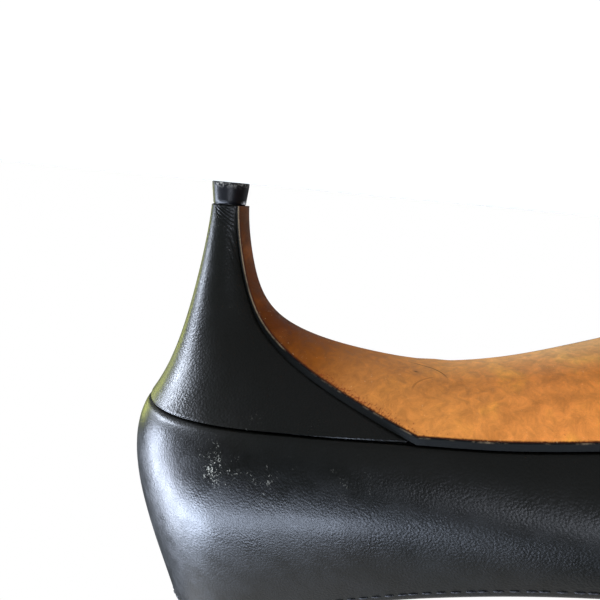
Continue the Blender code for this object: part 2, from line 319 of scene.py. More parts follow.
def scuffMask(tree, place, patches, spot):
    # clusters of specks, thickest in the middle of each patch: centre, radius, strength
    inside = []
    for centre, radius, strength in patches:
        away = addNode(tree, "VectorMath", {0: place, 1: toScene(centre)}, operation="DISTANCE")
        inside.append(addNode(
            tree, "MapRange",
            {"Value": away.outputs["Value"], "From Min": radius * mm, "From Max": 0.0, "To Max": strength},
        ).outputs["Result"])
    total = strongest(tree, inside)
    specks = addNode(
        tree, "TexNoise",
        {"Vector": place, "Scale": perMm(spot), "Detail": 3.0, "Roughness": 0.7, "Distortion": 0.8},
    )
    drifts = addNode(tree, "TexNoise", {"Vector": place, "Scale": perMm(spot * 5.0), "Detail": 2.0})
    level = addNode(
        tree, "Math", {0: drifts.outputs["Fac"], 1: 0.35, 2: specks.outputs["Fac"]}, operation="MULTIPLY_ADD"
    )
    raised = addNode(tree, "Math", {0: total, 1: 0.16, 2: level.outputs[0]}, operation="MULTIPLY_ADD")
    cut = addNode(
        tree, "MapRange", {"Value": raised.outputs[0], "From Min": 0.86, "From Max": 0.96},
        interpolation_type="SMOOTHSTEP",
    )
    return addNode(tree, "Math", {0: cut.outputs["Result"], 1: total}, operation="MULTIPLY").outputs[0]


# Aniline-dyed calf, plated and polished: near black, a fine pebble that breaks the highlight, a thin glaze.
# Pattern sizes and depths are in mm, here and in the finishes below.
calfLook = {
    "black": "#030403", "brownBlack": "#080705", "scuff": "#716f65",
    "cloud": 16.0, "rub": 5.0, "dimple": 7.0, "dimpleDepth": 0.06, "scuffSpeck": 0.6,
    "gloss": (0.27, 0.4), "specular": 0.085, "glaze": 0.02, "glazeRoughness": 0.16,
}


def makeCalf(name, patches, grain, grainDepth):
    # real calf's grain is finer, and is drawn coarser so that it shows at this picture size
    material, tree, shader = startMaterial(name)
    look = calfLook
    place = addNode(tree, "TexCoord").outputs["Object"]
    shade = addNode(tree, "TexNoise", {"Vector": place, "Scale": perMm(look["cloud"]), "Detail": 4.0})
    tone = addNode(
        tree, "Mix", {0: shade.outputs["Fac"], 6: linear(look["black"]), 7: linear(look["brownBlack"])},
        data_type="RGBA",
    )
    scuffs = scuffMask(tree, place, patches, look["scuffSpeck"])
    colour = addNode(tree, "Mix", {0: scuffs, 6: tone.outputs[2], 7: linear(look["scuff"])}, data_type="RGBA")
    rub = addNode(
        tree, "TexNoise", {"Vector": place, "Scale": perMm(look["rub"]), "Detail": 5.0, "Roughness": 0.6}
    )
    low, high = look["gloss"]
    gloss = addNode(
        tree, "MapRange",
        {"Value": rub.outputs["Fac"], "From Min": 0.3, "From Max": 0.7, "To Min": low, "To Max": high},
    )
    matt = addNode(tree, "Math", {0: scuffs, 1: 0.5, 2: gloss.outputs["Result"]}, operation="MULTIPLY_ADD")
    dimple = addNode(tree, "TexNoise", {"Vector": place, "Scale": perMm(look["dimple"]), "Detail": 2.0})
    soft = addNode(
        tree, "Bump",
        {"Height": dimple.outputs["Fac"], "Distance": look["dimpleDepth"] * mm, "Strength": 0.5},
    )
    pebble = addNode(
        tree, "TexVoronoi",
        {"Vector": place, "Scale": perMm(grain), "Smoothness": 0.35}, feature="SMOOTH_F1",
    )
    bump = addNode(
        tree, "Bump",
        {"Height": pebble.outputs["Distance"], "Distance": grainDepth * mm, "Strength": 0.6,
         "Normal": soft.outputs["Normal"]},
        invert=True,
    )
    plug(tree, shader, {
        "Base Color": colour.outputs[2], "Roughness": matt.outputs[0], "Normal": bump.outputs["Normal"],
        "Specular IOR Level": look["specular"],
        "Coat Weight": look["glaze"], "Coat Roughness": look["glazeRoughness"],
    })
    return material


# Vegetable-tanned lining and sock leather: soft beige, matt, faint pores, darker where a foot has rubbed it.
sockLook = {
    "rubbed": "#6d4a2c", "rub": 0.45, "cloud": 22.0, "pores": 0.6, "poreDepth": 0.04,
    "gloss": (0.5, 0.72), "specular": 0.3,
}


def makeSock(name, pale, dark, rubbed):
    look = sockLook
    material, tree, shader = startMaterial(name)
    place = addNode(tree, "TexCoord").outputs["Object"]
    cloud = addNode(
        tree, "TexNoise", {"Vector": place, "Scale": perMm(look["cloud"]), "Detail": 5.0, "Roughness": 0.6}
    )
    spread = addNode(tree, "MapRange", {"Value": cloud.outputs["Fac"], "From Min": 0.35, "From Max": 0.68})
    tone = addNode(
        tree, "Mix", {0: spread.outputs["Result"], 6: linear(pale), 7: linear(dark)}, data_type="RGBA"
    )
    worn = []
    for centre, radius in rubbed:
        away = addNode(tree, "VectorMath", {0: place, 1: toScene(centre)}, operation="DISTANCE")
        worn.append(addNode(
            tree, "MapRange",
            {"Value": away.outputs["Value"], "From Min": radius * mm, "From Max": 0.3 * radius * mm,
             "To Max": look["rub"]},
            interpolation_type="SMOOTHSTEP",
        ).outputs["Result"])
    colour = addNode(
        tree, "Mix", {0: strongest(tree, worn), 6: tone.outputs[2], 7: linear(look["rubbed"])},
        data_type="RGBA",
    )
    pores = addNode(tree, "TexVoronoi", {"Vector": place, "Scale": perMm(look["pores"])})
    bump = addNode(
        tree, "Bump",
        {"Height": pores.outputs["Distance"], "Distance": look["poreDepth"] * mm, "Strength": 0.5},
        invert=True,
    )
    low, high = look["gloss"]
    rough = addNode(tree, "MapRange", {"Value": cloud.outputs["Fac"], "To Min": low, "To Max": high})
    plug(tree, shader, {
        "Base Color": colour.outputs[2], "Roughness": rough.outputs["Result"],
        "Normal": bump.outputs["Normal"], "Specular IOR Level": look["specular"],
    })
    return material


# Oak-bark sole leather, burnished and waxed: orange tan, mottled and speckled, paler where it has rubbed;
# darker down the breast, partly stain and partly painted shade, and golden towards the arch, partly mottling
# and partly painted light.
soleLook = {
    # share of the way from the heel's foot to the middle of the arch, colour: darkest down the breast, partly
    # a darker stain and partly painted shade of the breast
    "tones": [(0.0, "#3c2008"), (0.25, "#522605"), (0.33, "#7e450f"), (0.41, "#b67438"), (0.54, "#cc833f"),
              (0.7, "#d48440"), (1.0, "#ca7b30")],
    "dark": "#8a4e1e", "gold": "#e09a3e", "pale": "#eac088",
    "dye": "#331409", "speck": "#7a3218", "fleck": "#ead0a4",
    "cloud": 10.0, "mottle": 2.4, "nick": 0.8, "grain": 0.45, "mottleDepth": 0.12, "grainDepth": 0.05,
    "toneFrom": -66.0, "toneTo": 60.0, "archFrom": -16.0, "archTo": 30.0,  # path from the heel's front
    "rimDye": 0.5, "breastSpecks": 4.5, "gloss": (0.42, 0.66), "specular": 0.04,
    # creases: arc's centre and radius, the part that shows, its reach, strength; centres are path and across
    "arcs": [((-10.0, 1.0), 13.0, (-0.8, -8.0), 9.0, 0.6), ((8.0, 8.0), 12.0, (-3.0, 3.0), 7.0, 0.3)],
    "stain": ((-4.0, -3.0), 0.9),
}


def makeSoleLeather():
    material, tree, shader = startMaterial("waxed tan sole leather")
    look = soleLook
    # path along the sole, across it, and in from the rim, in metres
    place = addNode(tree, "Attribute", attribute_name="solePlace").outputs["Vector"]
    parts = addNode(tree, "SeparateXYZ", {"Vector": place})
    path, across, rim = (parts.outputs[k] for k in "XYZ")
    flat = addNode(tree, "CombineXYZ", {"X": path, "Y": across}).outputs["Vector"]
    stretched = addNode(tree, "Mapping", {"Vector": flat, "Scale": (1.0, 0.55, 1.0)})  # longer across
    hide = stretched.outputs["Vector"]
    # the tone along the sole: dark down the breast, partly a darker stain and partly painted shade of the
    # breast, brightening into the arch
    zone = addNode(
        tree, "MapRange",
        {"Value": path, "From Min": look["toneFrom"] * mm, "From Max": look["toneTo"] * mm},
    )
    tone = addNode(tree, "ValToRGB", {"Fac": zone.outputs["Result"]})
    stops = tone.color_ramp.elements
    for k, (share, colour) in enumerate(look["tones"]):
        stop = stops[k] if k < 2 else stops.new(share)
        stop.position, stop.color = share, linear(colour)
    cloud = addNode(
        tree, "TexNoise", {"Vector": hide, "Scale": perMm(look["cloud"]), "Detail": 6.0, "Roughness": 0.6}
    )
    darkCloud = addNode(
        tree, "MapRange", {"Value": cloud.outputs["Fac"], "From Min": 0.5, "From Max": 0.3, "To Max": 0.4},
        interpolation_type="SMOOTHSTEP",
    )
    stained = addNode(
        tree, "Mix", {0: darkCloud.outputs["Result"], 6: tone.outputs["Color"], 7: linear(look["dark"])},
        data_type="RGBA",
    )
    arch = addNode(
        tree, "MapRange",
        {"Value": path, "From Min": look["archFrom"] * mm, "From Max": look["archTo"] * mm},
    )
    # golden patches that grow towards the arch: partly mottled tone, partly painted light of the lit arch
    goldCloud = addNode(
        tree, "MapRange", {"Value": cloud.outputs["Fac"], "From Min": 0.5, "From Max": 0.7},
        interpolation_type="SMOOTHSTEP",
    )
    golden = addNode(
        tree, "Math", {0: goldCloud.outputs["Result"], 1: arch.outputs["Result"]}, operation="MULTIPLY"
    )
    glowing = addNode(
        tree, "Mix", {0: golden.outputs[0], 6: stained.outputs[2], 7: linear(look["gold"])}, data_type="RGBA"
    )
    # rubbed pale along the outer edge of the arch
    outer = addNode(
        tree, "MapRange", {"Value": across, "From Min": 1 * mm, "From Max": -17 * mm, "To Max": 0.6}
    )
    rubbed = addNode(
        tree, "Math", {0: outer.outputs["Result"], 1: arch.outputs["Result"]}, operation="MULTIPLY"
    )
    faded = addNode(
        tree, "Mix", {0: rubbed.outputs[0], 6: glowing.outputs[2], 7: linear(look["pale"])}, data_type="RGBA"
    )
    mottle = addNode(
        tree, "TexNoise",
        {"Vector": hide, "Scale": perMm(look["mottle"]), "Detail": 6.0, "Roughness": 0.72, "Distortion": 0.5},
    )
    light = addNode(
        tree, "MapRange",
        {"Value": mottle.outputs["Fac"], "From Min": 0.3, "From Max": 0.7, "To Min": 0.7, "To Max": 1.26},
    )
    mottled = addNode(tree, "HueSaturation", {"Color": faded.outputs[2], "Value": light.outputs["Result"]})
    marks = []
    for centre, radius, middle, reach, strength in look["arcs"]:
        away = addNode(tree, "VectorMath", {0: flat, 1: Vector((*centre, 0.0)) * mm}, operation="DISTANCE")
        line = addNode(
            tree, "Math", {0: away.outputs["Value"], 1: radius * mm, 2: 0.22 * mm}, operation="COMPARE"
        )
        near = addNode(tree, "VectorMath", {0: flat, 1: Vector((*middle, 0.0)) * mm}, operation="DISTANCE")
        part = addNode(
            tree, "MapRange",
            {"Value": near.outputs["Value"], "From Min": reach * mm, "From Max": 0.4 * reach * mm,
             "To Max": strength},
            interpolation_type="SMOOTHSTEP",
        )
        drawn = addNode(tree, "Math", {0: line.outputs[0], 1: part.outputs["Result"]}, operation="MULTIPLY")
        marks.append(drawn.outputs[0])
    spot, size = look["stain"]
    away = addNode(tree, "VectorMath", {0: flat, 1: Vector((*spot, 0.0)) * mm}, operation="DISTANCE")
    blot = addNode(
        tree, "MapRange",
        {"Value": away.outputs["Value"], "From Min": size * mm, "From Max": 0.0, "To Max": 0.8},
        interpolation_type="SMOOTHSTEP",
    )
    marks.append(blot.outputs["Result"])
    creased = addNode(
        tree, "Mix", {0: strongest(tree, marks), 6: mottled.outputs["Color"], 7: linear(look["dye"])},
        data_type="RGBA",
    )
    # edge dye: specks that thin out away from the rim of the breast, and a tight line at the rim
    grain = addNode(
        tree, "TexNoise", {"Vector": hide, "Scale": perMm(look["grain"]), "Detail": 3.0, "Roughness": 0.6}
    )
    past = addNode(tree, "Math", {0: path, 1: 13 * mm}, operation="ADD")  # from 13 mm down the breast
    above = addNode(tree, "Math", {0: past.outputs[0]}, operation="ABSOLUTE")
    breast = addNode(
        tree, "MapRange",
        {"Value": above.outputs[0], "From Min": 20 * mm, "From Max": 8 * mm, "To Max": 0.24},
    )
    spread = addNode(
        tree, "MapRange", {"Value": rim, "From Min": look["breastSpecks"] * mm, "From Max": 0.0}
    )
    speckled = addNode(
        tree, "Math", {0: breast.outputs["Result"], 1: spread.outputs["Result"], 2: grain.outputs["Fac"]},
        operation="MULTIPLY_ADD",
    )
    specks = addNode(
        tree, "MapRange", {"Value": speckled.outputs[0], "From Min": 0.66, "From Max": 0.78, "To Max": 0.75},
        interpolation_type="SMOOTHSTEP",
    )
    reach = addNode(tree, "Math", {0: grain.outputs["Fac"], 1: -0.5 * mm, 2: rim}, operation="MULTIPLY_ADD")
    bleed = addNode(
        tree, "MapRange", {"Value": reach.outputs[0], "From Min": look["rimDye"] * mm, "From Max": -0.1 * mm},
        interpolation_type="SMOOTHSTEP",
    )
    dotted = addNode(
        tree, "Mix", {0: specks.outputs["Result"], 6: creased.outputs[2], 7: linear(look["speck"])},
        data_type="RGBA",
    )
    dyed = addNode(
        tree, "Mix", {0: bleed.outputs["Result"], 6: dotted.outputs[2], 7: linear(look["dye"])},
        data_type="RGBA",
    )
    nicks = addNode(
        tree, "TexNoise",
        {"Vector": hide, "Scale": perMm(look["nick"]), "Detail": 4.0, "Roughness": 0.75, "Distortion": 1.5},
    )
    fleck = addNode(
        tree, "MapRange", {"Value": nicks.outputs["Fac"], "From Min": 0.64, "From Max": 0.74, "To Max": 0.5},
        interpolation_type="SMOOTHSTEP",
    )
    colour = addNode(
        tree, "Mix", {0: fleck.outputs["Result"], 6: dyed.outputs[2], 7: linear(look["fleck"])},
        data_type="RGBA",
    )
    low, high = look["gloss"]
    rough = addNode(
        tree, "MapRange",
        {"Value": mottle.outputs["Fac"], "From Min": 0.3, "From Max": 0.7, "To Min": low, "To Max": high},
    )
    swell = addNode(
        tree, "Bump",
        {"Height": mottle.outputs["Fac"], "Distance": look["mottleDepth"] * mm, "Strength": 0.6},
    )
    bump = addNode(
        tree, "Bump",
        {"Height": grain.outputs["Fac"], "Distance": look["grainDepth"] * mm, "Strength": 0.6,
         "Normal": swell.outputs["Normal"]},
    )
    plug(tree, shader, {
        "Base Color": colour.outputs[2], "Roughness": rough.outputs["Result"],
        "Normal": bump.outputs["Normal"], "Specular IOR Level": look["specular"],
    })
    return material


# Leather edge, trimmed, inked black and waxed: charcoal with cut fibres, the ink rubbed off at the corner.
edgeLook = {
    "ink": "#040505", "fibre": "#0e0f0e", "bare": "#8d7a60",
    "fibreLong": 1.2, "fibreWide": 0.35, "fibreDepth": 0.08, "wear": 7.0, "corner": 0.28,
    "wornFrom": -22.0, "wornTo": -48.0,  # along the sole, where wear grows towards the heel's foot
    "gloss": (0.45, 0.75), "specular": 0.04,
}


def makeEdgeInk():
    look = edgeLook
    material, tree, shader = startMaterial("inked leather edge")
    place = addNode(tree, "Attribute", attribute_name="solePlace").outputs["Vector"]
    parts = addNode(tree, "SeparateXYZ", {"Vector": place})
    path, rim = parts.outputs["X"], parts.outputs["Z"]
    long, wide = perMm(look["fibreLong"]), perMm(look["fibreWide"])
    streaks = addNode(tree, "Mapping", {"Vector": place, "Scale": (long, long, wide)})
    fibre = addNode(tree, "TexNoise", {"Vector": streaks.outputs["Vector"], "Scale": 1.0, "Detail": 4.0})
    tone = addNode(
        tree, "Mix", {0: fibre.outputs["Fac"], 6: linear(look["ink"]), 7: linear(look["fibre"])},
        data_type="RGBA",
    )
    corner = addNode(
        tree, "MapRange", {"Value": rim, "From Min": -look["corner"] * mm, "From Max": 0.0},
        interpolation_type="SMOOTHSTEP",
    )
    walks = addNode(
        tree, "TexNoise", {"Vector": place, "Scale": perMm(look["wear"]), "Detail": 5.0, "Roughness": 0.75}
    )
    foot = addNode(
        tree, "MapRange",
        {"Value": path, "From Min": look["wornFrom"] * mm, "From Max": look["wornTo"] * mm, "To Max": 0.16},
    )
    walked = addNode(tree, "Math", {0: walks.outputs["Fac"], 1: foot.outputs["Result"]}, operation="ADD")
    chips = addNode(
        tree, "MapRange", {"Value": walked.outputs[0], "From Min": 0.50, "From Max": 0.66, "To Max": 0.6}
    )
    worn = addNode(
        tree, "Math", {0: corner.outputs["Result"], 1: chips.outputs["Result"]}, operation="MULTIPLY"
    )
    colour = addNode(
        tree, "Mix", {0: worn.outputs[0], 6: tone.outputs[2], 7: linear(look["bare"])}, data_type="RGBA"
    )
    low, high = look["gloss"]
    rough = addNode(tree, "MapRange", {"Value": fibre.outputs["Fac"], "To Min": low, "To Max": high})
    bump = addNode(
        tree, "Bump", {"Height": fibre.outputs["Fac"], "Distance": look["fibreDepth"] * mm, "Strength": 0.6}
    )
    plug(tree, shader, {
        "Base Color": colour.outputs[2], "Roughness": rough.outputs["Result"],
        "Normal": bump.outputs["Normal"], "Specular IOR Level": look["specular"],
    })
    return material


# Moulded polyurethane top lift: black, half gloss on the side, walked rough and dusty towards the floor.
liftLook = {
    "black": "#060607", "dust": "#6a675f", "dustHeight": 1.6, "grit": 0.45, "gritDepth": 0.05,
    "roughness": 0.36, "dustRoughness": 0.35, "specular": 0.09,
}


def makeLiftRubber():
    look = liftLook
    material, tree, shader = startMaterial("moulded black lift rubber")
    place = addNode(tree, "TexCoord").outputs["Object"]
    height = addNode(tree, "SeparateXYZ", {"Vector": place}).outputs["Z"]
    grit = addNode(
        tree, "TexNoise", {"Vector": place, "Scale": perMm(look["grit"]), "Detail": 4.0, "Roughness": 0.7}
    )
    low = addNode(
        tree, "MapRange", {"Value": height, "From Min": look["dustHeight"] * mm, "From Max": 0.1 * mm},
        interpolation_type="SMOOTHSTEP",
    )
    dust = addNode(tree, "MapRange", {"Value": grit.outputs["Fac"], "From Min": 0.48, "From Max": 0.66})
    dusty = addNode(tree, "Math", {0: low.outputs["Result"], 1: dust.outputs["Result"]}, operation="MULTIPLY")
    colour = addNode(
        tree, "Mix", {0: dusty.outputs[0], 6: linear(look["black"]), 7: linear(look["dust"])},
        data_type="RGBA",
    )
    rough = addNode(
        tree, "Math", {0: dusty.outputs[0], 1: look["dustRoughness"], 2: look["roughness"]},
        operation="MULTIPLY_ADD",
    )
    bump = addNode(
        tree, "Bump", {"Height": grit.outputs["Fac"], "Distance": look["gritDepth"] * mm, "Strength": 0.45}
    )
    plug(tree, shader, {
        "Base Color": colour.outputs[2], "Roughness": rough.outputs[0], "Normal": bump.outputs["Normal"],
        "Specular IOR Level": look["specular"],
    })
    return material


# Pressed insole board, dark grey fibre, quite matt, coloured so dark that it is painted shade: it is only
# seen in the seams and stands in for their shade.
seamShadeBoardLook = {"dark": "#0c0b0a", "pale": "#1c1a18", "fibre": 0.8, "roughness": 0.9}


def makeSeamShadeBoard():
    look = seamShadeBoardLook
    material, tree, shader = startMaterial("near-black board painted as seam shade")
    place = addNode(tree, "TexCoord").outputs["Object"]
    fibres = addNode(tree, "TexNoise", {"Vector": place, "Scale": perMm(look["fibre"]), "Detail": 4.0})
    tone = addNode(
        tree, "Mix", {0: fibres.outputs["Fac"], 6: linear(look["dark"]), 7: linear(look["pale"])},
        data_type="RGBA",
    )
    plug(tree, shader, {"Base Color": tone.outputs[2], "Roughness": look["roughness"]})
    return material


# Waxed polyester thread: black, a little paler than the leather, two plies showing as fine slanted bands.
threadLook = {
    "dark": "#0c0c0d", "pale": "#1d1d1f", "ply": 0.5, "plyDepth": 0.05, "roughness": 0.55, "specular": 0.1,
}


def makeThread():
    look = threadLook
    material, tree, shader = startMaterial("waxed black thread")
    place = addNode(tree, "TexCoord").outputs["Object"]
    waves = perMm(look["ply"]) / 6.3  # a wave texture repeats about 6.3 times to the unit
    plies = addNode(tree, "TexWave", {"Vector": place, "Scale": waves, "Distortion": 1.0})
    tone = addNode(
        tree, "Mix", {0: plies.outputs["Fac"], 6: linear(look["dark"]), 7: linear(look["pale"])},
        data_type="RGBA",
    )
    bump = addNode(
        tree, "Bump", {"Height": plies.outputs["Fac"], "Distance": look["plyDepth"] * mm, "Strength": 0.5}
    )
    plug(tree, shader, {
        "Base Color": tone.outputs[2], "Roughness": look["roughness"], "Normal": bump.outputs["Normal"],
        "Specular IOR Level": look["specular"],
    })
    return material


# Matt studio paper, grey that the lamps lift to white, fading out before it darkens away from them.
paperForm = {
    "reach": 600.0, "fadeFrom": 160.0, "fadeTo": 400.0,
    "dark": "#827f77", "pale": "#86837b", "fibre": 2.0, "roughness": 0.9,
}


def makePaper():
    form = paperForm
    material, tree, shader = startMaterial("pale studio paper")
    place = addNode(tree, "TexCoord").outputs["Object"]
    fibres = addNode(tree, "TexNoise", {"Vector": place, "Scale": perMm(form["fibre"]), "Detail": 3.0})
    tone = addNode(
        tree, "Mix", {0: fibres.outputs["Fac"], 6: linear(form["dark"]), 7: linear(form["pale"])},
        data_type="RGBA",
    )
    away = addNode(tree, "VectorMath", {0: place}, operation="LENGTH")
    cover = addNode(
        tree, "MapRange",
        {"Value": away.outputs["Value"], "From Min": form["fadeTo"] * mm, "From Max": form["fadeFrom"] * mm},
        interpolation_type="SMOOTHSTEP",
    )
    plug(tree, shader, {
        "Base Color": tone.outputs[2], "Alpha": cover.outputs["Result"],
        "Roughness": form["roughness"], "Specular IOR Level": 0.0,
    })
    return material


# scuffed places: centre, radius, strength; then the grain's size and depth
calfLeather = makeCalf(
    "polished black calf",
    [((27.0, 27.0, 53.0), 7.0, 1.0), ((37.0, 28.0, 53.5), 8.0, 0.62), ((20.0, 24.0, 63.0), 8.0, 0.3),
     ((52.0, 28.0, 52.0), 9.0, 0.35), ((205.0, 22.0, 22.0), 14.0, 0.3)],
    0.44, 0.052,
)
coverLeather = makeCalf(
    "black calf heel cover",
    [((32.0, 24.0, 44.0), 5.0, 0.5), ((22.0, 13.0, 26.0), 7.0, 0.5), ((13.0, 4.5, 8.0), 5.0, 0.7)],
    0.5, 0.08,
)
# rubbed places: centre, radius
liningLeather = makeSock("beige kid lining", "#c8a987", "#b18e68", [((30.0, 0.0, 70.0), 30.0)])
sockLeather = makeSock(
    "tan sock leather", "#c39a6b", "#a97c4d", [((30.0, 0.0, 48.0), 30.0), ((165.0, 0.0, 6.0), 38.0)]
)
soleLeather = makeSoleLeather()
edgeInk = makeEdgeInk()
liftRubber = makeLiftRubber()
waxedThread = makeThread()
# near-black board whose colour paints the shade in the seams
seamShadeBoard = makeSeamShadeBoard()
print("finishes made")


upperForm = {
    "wall": 1.6, "ribSteps": 46, "endCrowding": 0.8,  # steps crowd towards both ends of a rib
    "spans": [(0.0, 7.0, 70), (7.0, 8.4, 56), (8.4, 13.0, 46)],  # from rib, to rib, steps
    "toplineRoll": 1.3, "featherRoll": (1.5, 0.7),  # at the back, under the arch and round the toe
    "featherChange": (0.0, 80.0),  # along, where the one roll turns into the other
    "edgeSamples": 400,  # to each rib number, so that every step above ends on one
    "domeFrom": (6.4, 7.9),  # ribs over which the vamp's dome takes over
    # smoothing beside the throat: full within the first reach, none past the second, held at the edges
    "vampEase": {"reach": (6.0, 36.0), "edge": (0.8, 8.0), "shades": 5, "passes": 150},
    "stitchEvery": 2.5, "stitchLong": 1.9, "stitchThick": 0.42, "stitchIn": 1.9, "stitchProud": 0.02,
}


def curvePoint(handles, s):
    while len(handles) > 1:
        handles = [a.lerp(b, s) for a, b in zip(handles, handles[1:])]
    return handles[0]


def domeHandles(t, foot, low, top):
    # beside the throat the vamp's dome is carried on backwards and cut off at the top line
    throat = lastForm["throat"]
    rows = [Vector((*spline(ridgeLine, step), *spline([r[9:] for r in lastForm["ribs"]], throat + step)))
            for step in (0.0, 0.02)]
    reached = rows[0] + (rows[1] - rows[0]) * ((t - throat) / 0.02)
    ridge = Vector(reached[:3])
    away = Vector((foot.x - ridge.x, foot.y - ridge.y, 0.0)).normalized()
    rib = [foot, low, ridge + away * reached[3] - Vector((0.0, 0.0, reached[4])), ridge]
    cut = min((0.4 + 0.6 * k / 240 for k in range(241)), key=lambda s: (curvePoint(rib, s) - top).length)
    return curvePoint(rib[:2], cut), curvePoint(rib[:3], cut) + top - curvePoint(rib, cut)


def ribPoints(t, side):
    x, y = featherPoint(t, side)
    foot = Vector((x, y, lastBottom(x, side)))
    top = topPoint(t, side)
    out = featherOut(t, side)
    swellOut, swellUp, crownOut, crownDown = spline([r[7:] for r in lastForm["ribs"]], t)
    inward = Vector((foot.x - top.x, foot.y - top.y, 0.0))
    downWall = out if inward.length < crownOut else inward.normalized()
    throat = lastForm["throat"]
    away = out.lerp(downWall, smoothStep(throat - 3.0, throat - 0.5, t)).normalized()
    low = foot + out * swellOut + Vector((0.0, 0.0, swellUp))
    high = top + away * crownOut - Vector((0.0, 0.0, crownDown))
    carried = smoothStep(*upperForm["domeFrom"], t)
    if t < throat and carried > 0.0:
        domeLow, domeHigh = domeHandles(t, foot, low, top)
        low, high = low.lerp(domeLow, carried), high.lerp(domeHigh, carried)
    points = []
    for k in range(upperForm["ribSteps"] + 1):
        share = k / upperForm["ribSteps"]
        bothEnds = share - upperForm["endCrowding"] * math.sin(2 * math.pi * share) / (2 * math.pi)
        # the vamp has no edge at its ridge, so there the steps crowd at the sole only
        s = mix(bothEnds, share**1.4, smoothStep(throat + 0.2, throat + 1.4, t))
        points.append(curvePoint([foot, low, high, top], s))
    return points


def makeUpper():
    form = upperForm
    numbers = [mix(a, b, k / n) for a, b, n in form["spans"] for k in range(n)] + [float(toeRib)]
    bm = bmesh.new()
    for side in (1, -1):
        addSheet(bm, [ribPoints(t, side) for t in numbers])
    bmesh.ops.remove_doubles(bm, verts=bm.verts, dist=0.004 * mm)
    bmesh.ops.recalc_face_normals(bm, faces=bm.faces)
    throat = lastForm["throat"]
    fine = form["edgeSamples"]
    topline = [spline(toplineLoop, k / fine, closed=True) for k in range(2 * throat * fine)]
    feather = []
    for k in range(toeRib * fine + 1):
        for side in (1, -1):
            x, y = featherPoint(k / fine, side)
            feather.append((x, y, lastBottom(x, side)))
    back, rest = form["featherRoll"]
    easeLine(bm, ribPoints(throat, 1) + ribPoints(throat, -1), form["vampEase"])
    curlEdge(bm, topline, lambda point: form["toplineRoll"])
    change = form["featherChange"]
    curlEdge(bm, feather, lambda point: mix(back, rest, smoothStep(*change, point[0])), level=True)
    surface = BVHTree.FromBMesh(bm)
    piece = finishPiece("upper_leather", bm, [calfLeather, liningLeather], "upper", 60.0)
    wall = piece.modifiers.new("wall", "SOLIDIFY")
    wall.thickness = form["wall"] * mm
    wall.offset = -1.0
    wall.use_quality_normals = True
    wall.material_offset = 1
    wall.material_offset_rim = 0
    return surface


def makeToplineStitches(surface):
    form = upperForm
    throat = lastForm["throat"]
    loop = [Vector(spline(toplineLoop, k / 40, closed=True)) for k in range(2 * throat * 40)]
    line = []
    for i, point in enumerate(loop):
        run = loop[(i + 1) % len(loop)] - loop[i - 1]
        out = Vector((-run.y, run.x, 0.0)).normalized()  # away from the opening
        guess = point + (out - Vector((0.0, 0.0, 1.0))) * form["stitchIn"]
        place, normal, _, _ = surface.find_nearest(toScene(guess))
        line.append((place, normal))
    bm = bmesh.new()
    walked, nextAt = 0.0, 0.0
    for i, (place, normal) in enumerate(line):
        if walked >= nextAt:
            ahead = (line[(i + 3) % len(line)][0] - line[i - 3][0]).normalized()
            made = bmesh.ops.create_uvsphere(bm, u_segments=8, v_segments=5, radius=0.5 * mm)
            bmesh.ops.scale(
                bm, verts=made["verts"], vec=(form["stitchThick"], form["stitchThick"], form["stitchLong"])
            )
            bmesh.ops.rotate(bm, verts=made["verts"], matrix=ahead.to_track_quat("Z", "Y").to_matrix())
            bmesh.ops.translate(bm, verts=made["verts"], vec=place + normal * form["stitchProud"] * mm)
            nextAt += form["stitchEvery"]
        walked += (line[(i + 1) % len(line)][0] - place).length / mm
    finishPiece("topline_stitches", bm, [waxedThread], None, 80.0)


upperSurface = makeUpper()
makeToplineStitches(upperSurface)
print("upper made")


outsoleForm = {
    "waist": 1.4, "tread": 3.2, "welt": 0.9,
    "treadGrows": (105.0, 150.0), "weltGrows": (100.0, 150.0),  # along
    "breastFootHalfWidth": 3.3, "breastFootAlong": 18.9, "breastCamber": 0.3, "breastFootHeight": 4.9,
    "alongFlare": (0.25, 1.6, 7.0), "widthFlare": (0.10, 3.0, 6.2),  # share, gentle power, steep power
    "breastThin": 0.55, "thinGrows": (0.5, 0.9), "camberGrows": (0.45, 1.0),  # shares of the breast
    "breastSteps": 60, "spanSteps": 14, "acrossSteps": 40, "corner": 0.22,
    "bendReach": 13.0, "bendSharpens": (0.3, 1.0),  # the second across, 1 at the inner edge
}


def flare(shape, v):
    share, gentle, steep = shape
    return share * v**gentle + (1.0 - share) * v**steep


def breastEdge(v, side):
    form = outsoleForm
    cornerX, cornerY = featherPoint(breastRib, side)
    cornerHeight = lastBottom(lastForm["breastAlong"], side) - lastForm["gap"] - form["waist"]
    return Vector((
        mix(form["breastFootAlong"], cornerX, flare(form["alongFlare"], v)),
        mix(side * form["breastFootHalfWidth"], cornerY, flare(form["widthFlare"], v)),
        mix(form["breastFootHeight"], cornerHeight, v),
    ))


def breastNormal(v):
    run = breastEdge(min(v + 0.02, 1.0), 1) - breastEdge(max(v - 0.02, 0.0), 1)
    return Vector((run.z, 0.0, -run.x)).normalized()


def stripThickness(v):
    return mix(outsoleForm["breastThin"], outsoleForm["waist"], smoothStep(*outsoleForm["thinGrows"], v))


def breastRow(v, depth, steps):
    left, right = breastEdge(v, -1), breastEdge(v, 1)
    out = breastNormal(v)
    flatter, fuller = outsoleForm["breastCamber"], bottomAt(lastForm["breastAlong"])[2]
    camber = mix(flatter, fuller, smoothStep(*outsoleForm["camberGrows"], v))
    row = []
    for k in range(steps + 1):
        across = 2.0 * k / steps - 1.0
        row.append(left.lerp(right, k / steps) + out * (camber * (1.0 - across**2) - depth))
    return row


def acrossRow(left, right, steps, height):
    row = []
    for k in range(steps + 1):
        x, y = mix(left[0], right[0], k / steps), mix(left[1], right[1], k / steps)
        row.append(Vector((x, y, height(x, 2.0 * k / steps - 1.0))))
    return row


